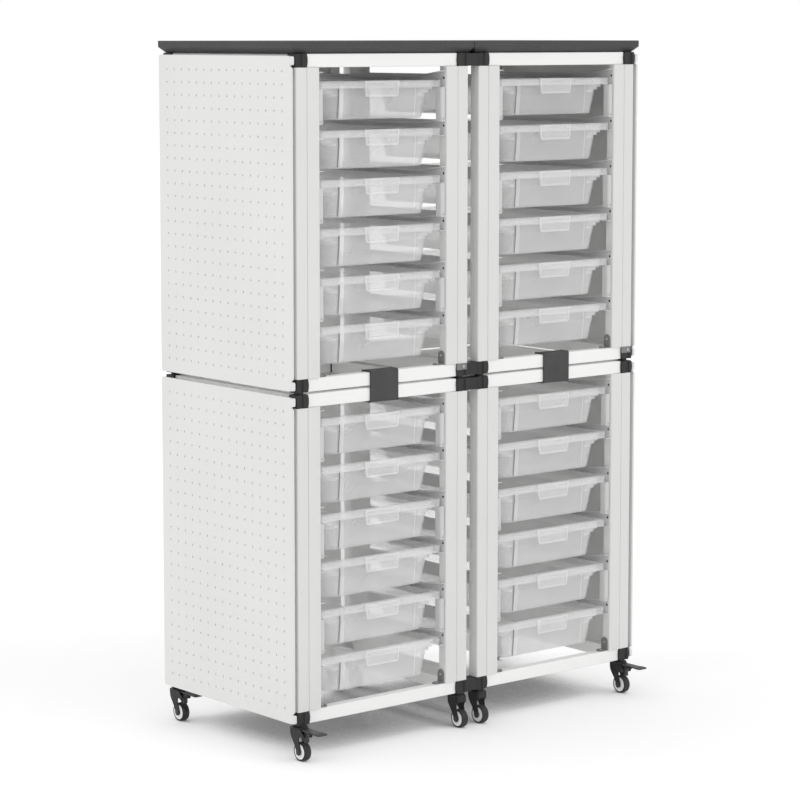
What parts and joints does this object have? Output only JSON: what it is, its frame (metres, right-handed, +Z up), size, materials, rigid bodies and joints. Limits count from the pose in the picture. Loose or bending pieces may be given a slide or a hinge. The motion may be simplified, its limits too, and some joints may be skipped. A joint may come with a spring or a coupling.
{
  "type": "classroom tray storage unit",
  "caption": "Mobile classroom storage tower: stacked open frames of white tube with clear sliding trays, peg panels on the outer sides, dark top boards and swivel casters.",
  "frame": {"origin": "on the floor under the middle of the unit's outline, brake pedals included", "axes": "+Z up, +X to the right seen from the front, the trays pull out toward -Y"},
  "size_m": [0.922, 0.5008, 1.4],
  "materials": {
    "frame_paint": "white powder coat, satin",
    "panel_paint": "white powder coat, satin",
    "tray_plastic": "clear moulded plastic",
    "board_laminate": "charcoal laminate on board",
    "clip_plastic": "black moulded plastic",
    "caster_plastic": "black moulded plastic",
    "tyre_rubber": "dark grey tread"
  },
  "bodies": {
    "frame": {"upper_left_base_frame": "frame_paint", "upper_left_tray_rack": "frame_paint", "upper_left_peg_panel": "panel_paint", "upper_right_base_frame": "frame_paint", "upper_right_tray_rack": "frame_paint", "upper_right_peg_panel": "panel_paint", "lower_left_base_frame": "frame_paint", "lower_left_tray_rack": "frame_paint", "lower_left_peg_panel": "panel_paint", "lower_right_base_frame": "frame_paint", "lower_right_tray_rack": "frame_paint", "lower_right_peg_panel": "panel_paint", "left_top_board": "board_laminate", "left_front_stack_clip": "clip_plastic", "right_top_board": "board_laminate", "right_front_stack_clip": "clip_plastic"},
    "upper_left_tray_1": {"upper_left_tray_1": "tray_plastic"},
    "upper_left_tray_2": {"upper_left_tray_2": "tray_plastic"},
    "upper_left_tray_3": {"upper_left_tray_3": "tray_plastic"},
    "upper_left_tray_4": {"upper_left_tray_4": "tray_plastic"},
    "upper_left_tray_5": {"upper_left_tray_5": "tray_plastic"},
    "upper_left_tray_6": {"upper_left_tray_6": "tray_plastic"},
    "upper_right_tray_1": {"upper_right_tray_1": "tray_plastic"},
    "upper_right_tray_2": {"upper_right_tray_2": "tray_plastic"},
    "upper_right_tray_3": {"upper_right_tray_3": "tray_plastic"},
    "upper_right_tray_4": {"upper_right_tray_4": "tray_plastic"},
    "upper_right_tray_5": {"upper_right_tray_5": "tray_plastic"},
    "upper_right_tray_6": {"upper_right_tray_6": "tray_plastic"},
    "lower_left_tray_1": {"lower_left_tray_1": "tray_plastic"},
    "lower_left_tray_2": {"lower_left_tray_2": "tray_plastic"},
    "lower_left_tray_3": {"lower_left_tray_3": "tray_plastic"},
    "lower_left_tray_4": {"lower_left_tray_4": "tray_plastic"},
    "lower_left_tray_5": {"lower_left_tray_5": "tray_plastic"},
    "lower_left_tray_6": {"lower_left_tray_6": "tray_plastic"},
    "lower_right_tray_1": {"lower_right_tray_1": "tray_plastic"},
    "lower_right_tray_2": {"lower_right_tray_2": "tray_plastic"},
    "lower_right_tray_3": {"lower_right_tray_3": "tray_plastic"},
    "lower_right_tray_4": {"lower_right_tray_4": "tray_plastic"},
    "lower_right_tray_5": {"lower_right_tray_5": "tray_plastic"},
    "lower_right_tray_6": {"lower_right_tray_6": "tray_plastic"},
    "front_left_caster": {"front_left_caster_fork": "caster_plastic"},
    "front_left_wheel": {"front_left_caster_wheel": "tyre_rubber"},
    "front_left_brake": {"front_left_brake_pedal": "caster_plastic"},
    "front_inner_left_caster": {"front_inner_left_caster_fork": "caster_plastic"},
    "front_inner_left_wheel": {"front_inner_left_caster_wheel": "tyre_rubber"},
    "front_inner_right_caster": {"front_inner_right_caster_fork": "caster_plastic"},
    "front_inner_right_wheel": {"front_inner_right_caster_wheel": "tyre_rubber"},
    "front_right_caster": {"front_right_caster_fork": "caster_plastic"},
    "front_right_wheel": {"front_right_caster_wheel": "tyre_rubber"},
    "front_right_brake": {"front_right_brake_pedal": "caster_plastic"},
    "back_left_caster": {"back_left_caster_fork": "caster_plastic"},
    "back_left_wheel": {"back_left_caster_wheel": "tyre_rubber"},
    "back_left_brake": {"back_left_brake_pedal": "caster_plastic"},
    "back_inner_left_caster": {"back_inner_left_caster_fork": "caster_plastic"},
    "back_inner_left_wheel": {"back_inner_left_caster_wheel": "tyre_rubber"},
    "back_inner_right_caster": {"back_inner_right_caster_fork": "caster_plastic"},
    "back_inner_right_wheel": {"back_inner_right_caster_wheel": "tyre_rubber"},
    "back_right_caster": {"back_right_caster_fork": "caster_plastic"},
    "back_right_wheel": {"back_right_caster_wheel": "tyre_rubber"},
    "back_right_brake": {"back_right_brake_pedal": "caster_plastic"}
  },
  "joints": [
    {"name": "upper_left_tray_1_slide", "type": "slide", "parent": "frame", "child": "upper_left_tray_1", "axis": [0, -1, 0], "range_m": [0, 0.3]},
    {"name": "upper_left_tray_2_slide", "type": "slide", "parent": "frame", "child": "upper_left_tray_2", "axis": [0, -1, 0], "range_m": [0, 0.3]},
    {"name": "upper_left_tray_3_slide", "type": "slide", "parent": "frame", "child": "upper_left_tray_3", "axis": [0, -1, 0], "range_m": [0, 0.3]},
    {"name": "upper_left_tray_4_slide", "type": "slide", "parent": "frame", "child": "upper_left_tray_4", "axis": [0, -1, 0], "range_m": [0, 0.3]},
    {"name": "upper_left_tray_5_slide", "type": "slide", "parent": "frame", "child": "upper_left_tray_5", "axis": [0, -1, 0], "range_m": [0, 0.3]},
    {"name": "upper_left_tray_6_slide", "type": "slide", "parent": "frame", "child": "upper_left_tray_6", "axis": [0, -1, 0], "range_m": [0, 0.3]},
    {"name": "upper_right_tray_1_slide", "type": "slide", "parent": "frame", "child": "upper_right_tray_1", "axis": [0, -1, 0], "range_m": [0, 0.3]},
    {"name": "upper_right_tray_2_slide", "type": "slide", "parent": "frame", "child": "upper_right_tray_2", "axis": [0, -1, 0], "range_m": [0, 0.3]},
    {"name": "upper_right_tray_3_slide", "type": "slide", "parent": "frame", "child": "upper_right_tray_3", "axis": [0, -1, 0], "range_m": [0, 0.3]},
    {"name": "upper_right_tray_4_slide", "type": "slide", "parent": "frame", "child": "upper_right_tray_4", "axis": [0, -1, 0], "range_m": [0, 0.3]},
    {"name": "upper_right_tray_5_slide", "type": "slide", "parent": "frame", "child": "upper_right_tray_5", "axis": [0, -1, 0], "range_m": [0, 0.3]},
    {"name": "upper_right_tray_6_slide", "type": "slide", "parent": "frame", "child": "upper_right_tray_6", "axis": [0, -1, 0], "range_m": [0, 0.3]},
    {"name": "lower_left_tray_1_slide", "type": "slide", "parent": "frame", "child": "lower_left_tray_1", "axis": [0, -1, 0], "range_m": [0, 0.3]},
    {"name": "lower_left_tray_2_slide", "type": "slide", "parent": "frame", "child": "lower_left_tray_2", "axis": [0, -1, 0], "range_m": [0, 0.3]},
    {"name": "lower_left_tray_3_slide", "type": "slide", "parent": "frame", "child": "lower_left_tray_3", "axis": [0, -1, 0], "range_m": [0, 0.3]},
    {"name": "lower_left_tray_4_slide", "type": "slide", "parent": "frame", "child": "lower_left_tray_4", "axis": [0, -1, 0], "range_m": [0, 0.3]},
    {"name": "lower_left_tray_5_slide", "type": "slide", "parent": "frame", "child": "lower_left_tray_5", "axis": [0, -1, 0], "range_m": [0, 0.3]},
    {"name": "lower_left_tray_6_slide", "type": "slide", "parent": "frame", "child": "lower_left_tray_6", "axis": [0, -1, 0], "range_m": [0, 0.3]},
    {"name": "lower_right_tray_1_slide", "type": "slide", "parent": "frame", "child": "lower_right_tray_1", "axis": [0, -1, 0], "range_m": [0, 0.3]},
    {"name": "lower_right_tray_2_slide", "type": "slide", "parent": "frame", "child": "lower_right_tray_2", "axis": [0, -1, 0], "range_m": [0, 0.3]},
    {"name": "lower_right_tray_3_slide", "type": "slide", "parent": "frame", "child": "lower_right_tray_3", "axis": [0, -1, 0], "range_m": [0, 0.3]},
    {"name": "lower_right_tray_4_slide", "type": "slide", "parent": "frame", "child": "lower_right_tray_4", "axis": [0, -1, 0], "range_m": [0, 0.3]},
    {"name": "lower_right_tray_5_slide", "type": "slide", "parent": "frame", "child": "lower_right_tray_5", "axis": [0, -1, 0], "range_m": [0, 0.3]},
    {"name": "lower_right_tray_6_slide", "type": "slide", "parent": "frame", "child": "lower_right_tray_6", "axis": [0, -1, 0], "range_m": [0, 0.3]},
    {"name": "front_left_swivel", "type": "hinge", "parent": "frame", "child": "front_left_caster", "pos_m": [-0.435, -0.1764, 0.0725], "axis": [0, 0, 1], "continuous": true},
    {"name": "front_left_wheel_spin", "type": "hinge", "parent": "front_left_caster", "child": "front_left_wheel", "pos_m": [-0.435, -0.1844, 0.019], "axis": [1, 0, 0], "continuous": true},
    {"name": "front_left_brake_press", "type": "hinge", "parent": "front_left_caster", "child": "front_left_brake", "pos_m": [-0.435, -0.1974, 0.052], "axis": [1, 0, 0], "range_deg": [0, 20]},
    {"name": "front_inner_left_swivel", "type": "hinge", "parent": "frame", "child": "front_inner_left_caster", "pos_m": [-0.028, -0.1764, 0.0725], "axis": [0, 0, 1], "continuous": true},
    {"name": "front_inner_left_wheel_spin", "type": "hinge", "parent": "front_inner_left_caster", "child": "front_inner_left_wheel", "pos_m": [-0.028, -0.1844, 0.019], "axis": [1, 0, 0], "continuous": true},
    {"name": "front_inner_right_swivel", "type": "hinge", "parent": "frame", "child": "front_inner_right_caster", "pos_m": [0.028, -0.1764, 0.0725], "axis": [0, 0, 1], "continuous": true},
    {"name": "front_inner_right_wheel_spin", "type": "hinge", "parent": "front_inner_right_caster", "child": "front_inner_right_wheel", "pos_m": [0.028, -0.1844, 0.019], "axis": [1, 0, 0], "continuous": true},
    {"name": "front_right_swivel", "type": "hinge", "parent": "frame", "child": "front_right_caster", "pos_m": [0.435, -0.1764, 0.0725], "axis": [0, 0, 1], "continuous": true},
    {"name": "front_right_wheel_spin", "type": "hinge", "parent": "front_right_caster", "child": "front_right_wheel", "pos_m": [0.435, -0.1844, 0.019], "axis": [1, 0, 0], "continuous": true},
    {"name": "front_right_brake_press", "type": "hinge", "parent": "front_right_caster", "child": "front_right_brake", "pos_m": [0.435, -0.1974, 0.052], "axis": [1, 0, 0], "range_deg": [0, 20]},
    {"name": "back_left_swivel", "type": "hinge", "parent": "frame", "child": "back_left_caster", "pos_m": [-0.435, 0.2334, 0.0725], "axis": [0, 0, 1], "continuous": true},
    {"name": "back_left_wheel_spin", "type": "hinge", "parent": "back_left_caster", "child": "back_left_wheel", "pos_m": [-0.435, 0.2254, 0.019], "axis": [1, 0, 0], "continuous": true},
    {"name": "back_left_brake_press", "type": "hinge", "parent": "back_left_caster", "child": "back_left_brake", "pos_m": [-0.435, 0.2124, 0.052], "axis": [1, 0, 0], "range_deg": [0, 20]},
    {"name": "back_inner_left_swivel", "type": "hinge", "parent": "frame", "child": "back_inner_left_caster", "pos_m": [-0.028, 0.2334, 0.0725], "axis": [0, 0, 1], "continuous": true},
    {"name": "back_inner_left_wheel_spin", "type": "hinge", "parent": "back_inner_left_caster", "child": "back_inner_left_wheel", "pos_m": [-0.028, 0.2254, 0.019], "axis": [1, 0, 0], "continuous": true},
    {"name": "back_inner_right_swivel", "type": "hinge", "parent": "frame", "child": "back_inner_right_caster", "pos_m": [0.028, 0.2334, 0.0725], "axis": [0, 0, 1], "continuous": true},
    {"name": "back_inner_right_wheel_spin", "type": "hinge", "parent": "back_inner_right_caster", "child": "back_inner_right_wheel", "pos_m": [0.028, 0.2254, 0.019], "axis": [1, 0, 0], "continuous": true},
    {"name": "back_right_swivel", "type": "hinge", "parent": "frame", "child": "back_right_caster", "pos_m": [0.435, 0.2334, 0.0725], "axis": [0, 0, 1], "continuous": true},
    {"name": "back_right_wheel_spin", "type": "hinge", "parent": "back_right_caster", "child": "back_right_wheel", "pos_m": [0.435, 0.2254, 0.019], "axis": [1, 0, 0], "continuous": true},
    {"name": "back_right_brake_press", "type": "hinge", "parent": "back_right_caster", "child": "back_right_brake", "pos_m": [0.435, 0.2124, 0.052], "axis": [1, 0, 0], "range_deg": [0, 20]}
  ]
}
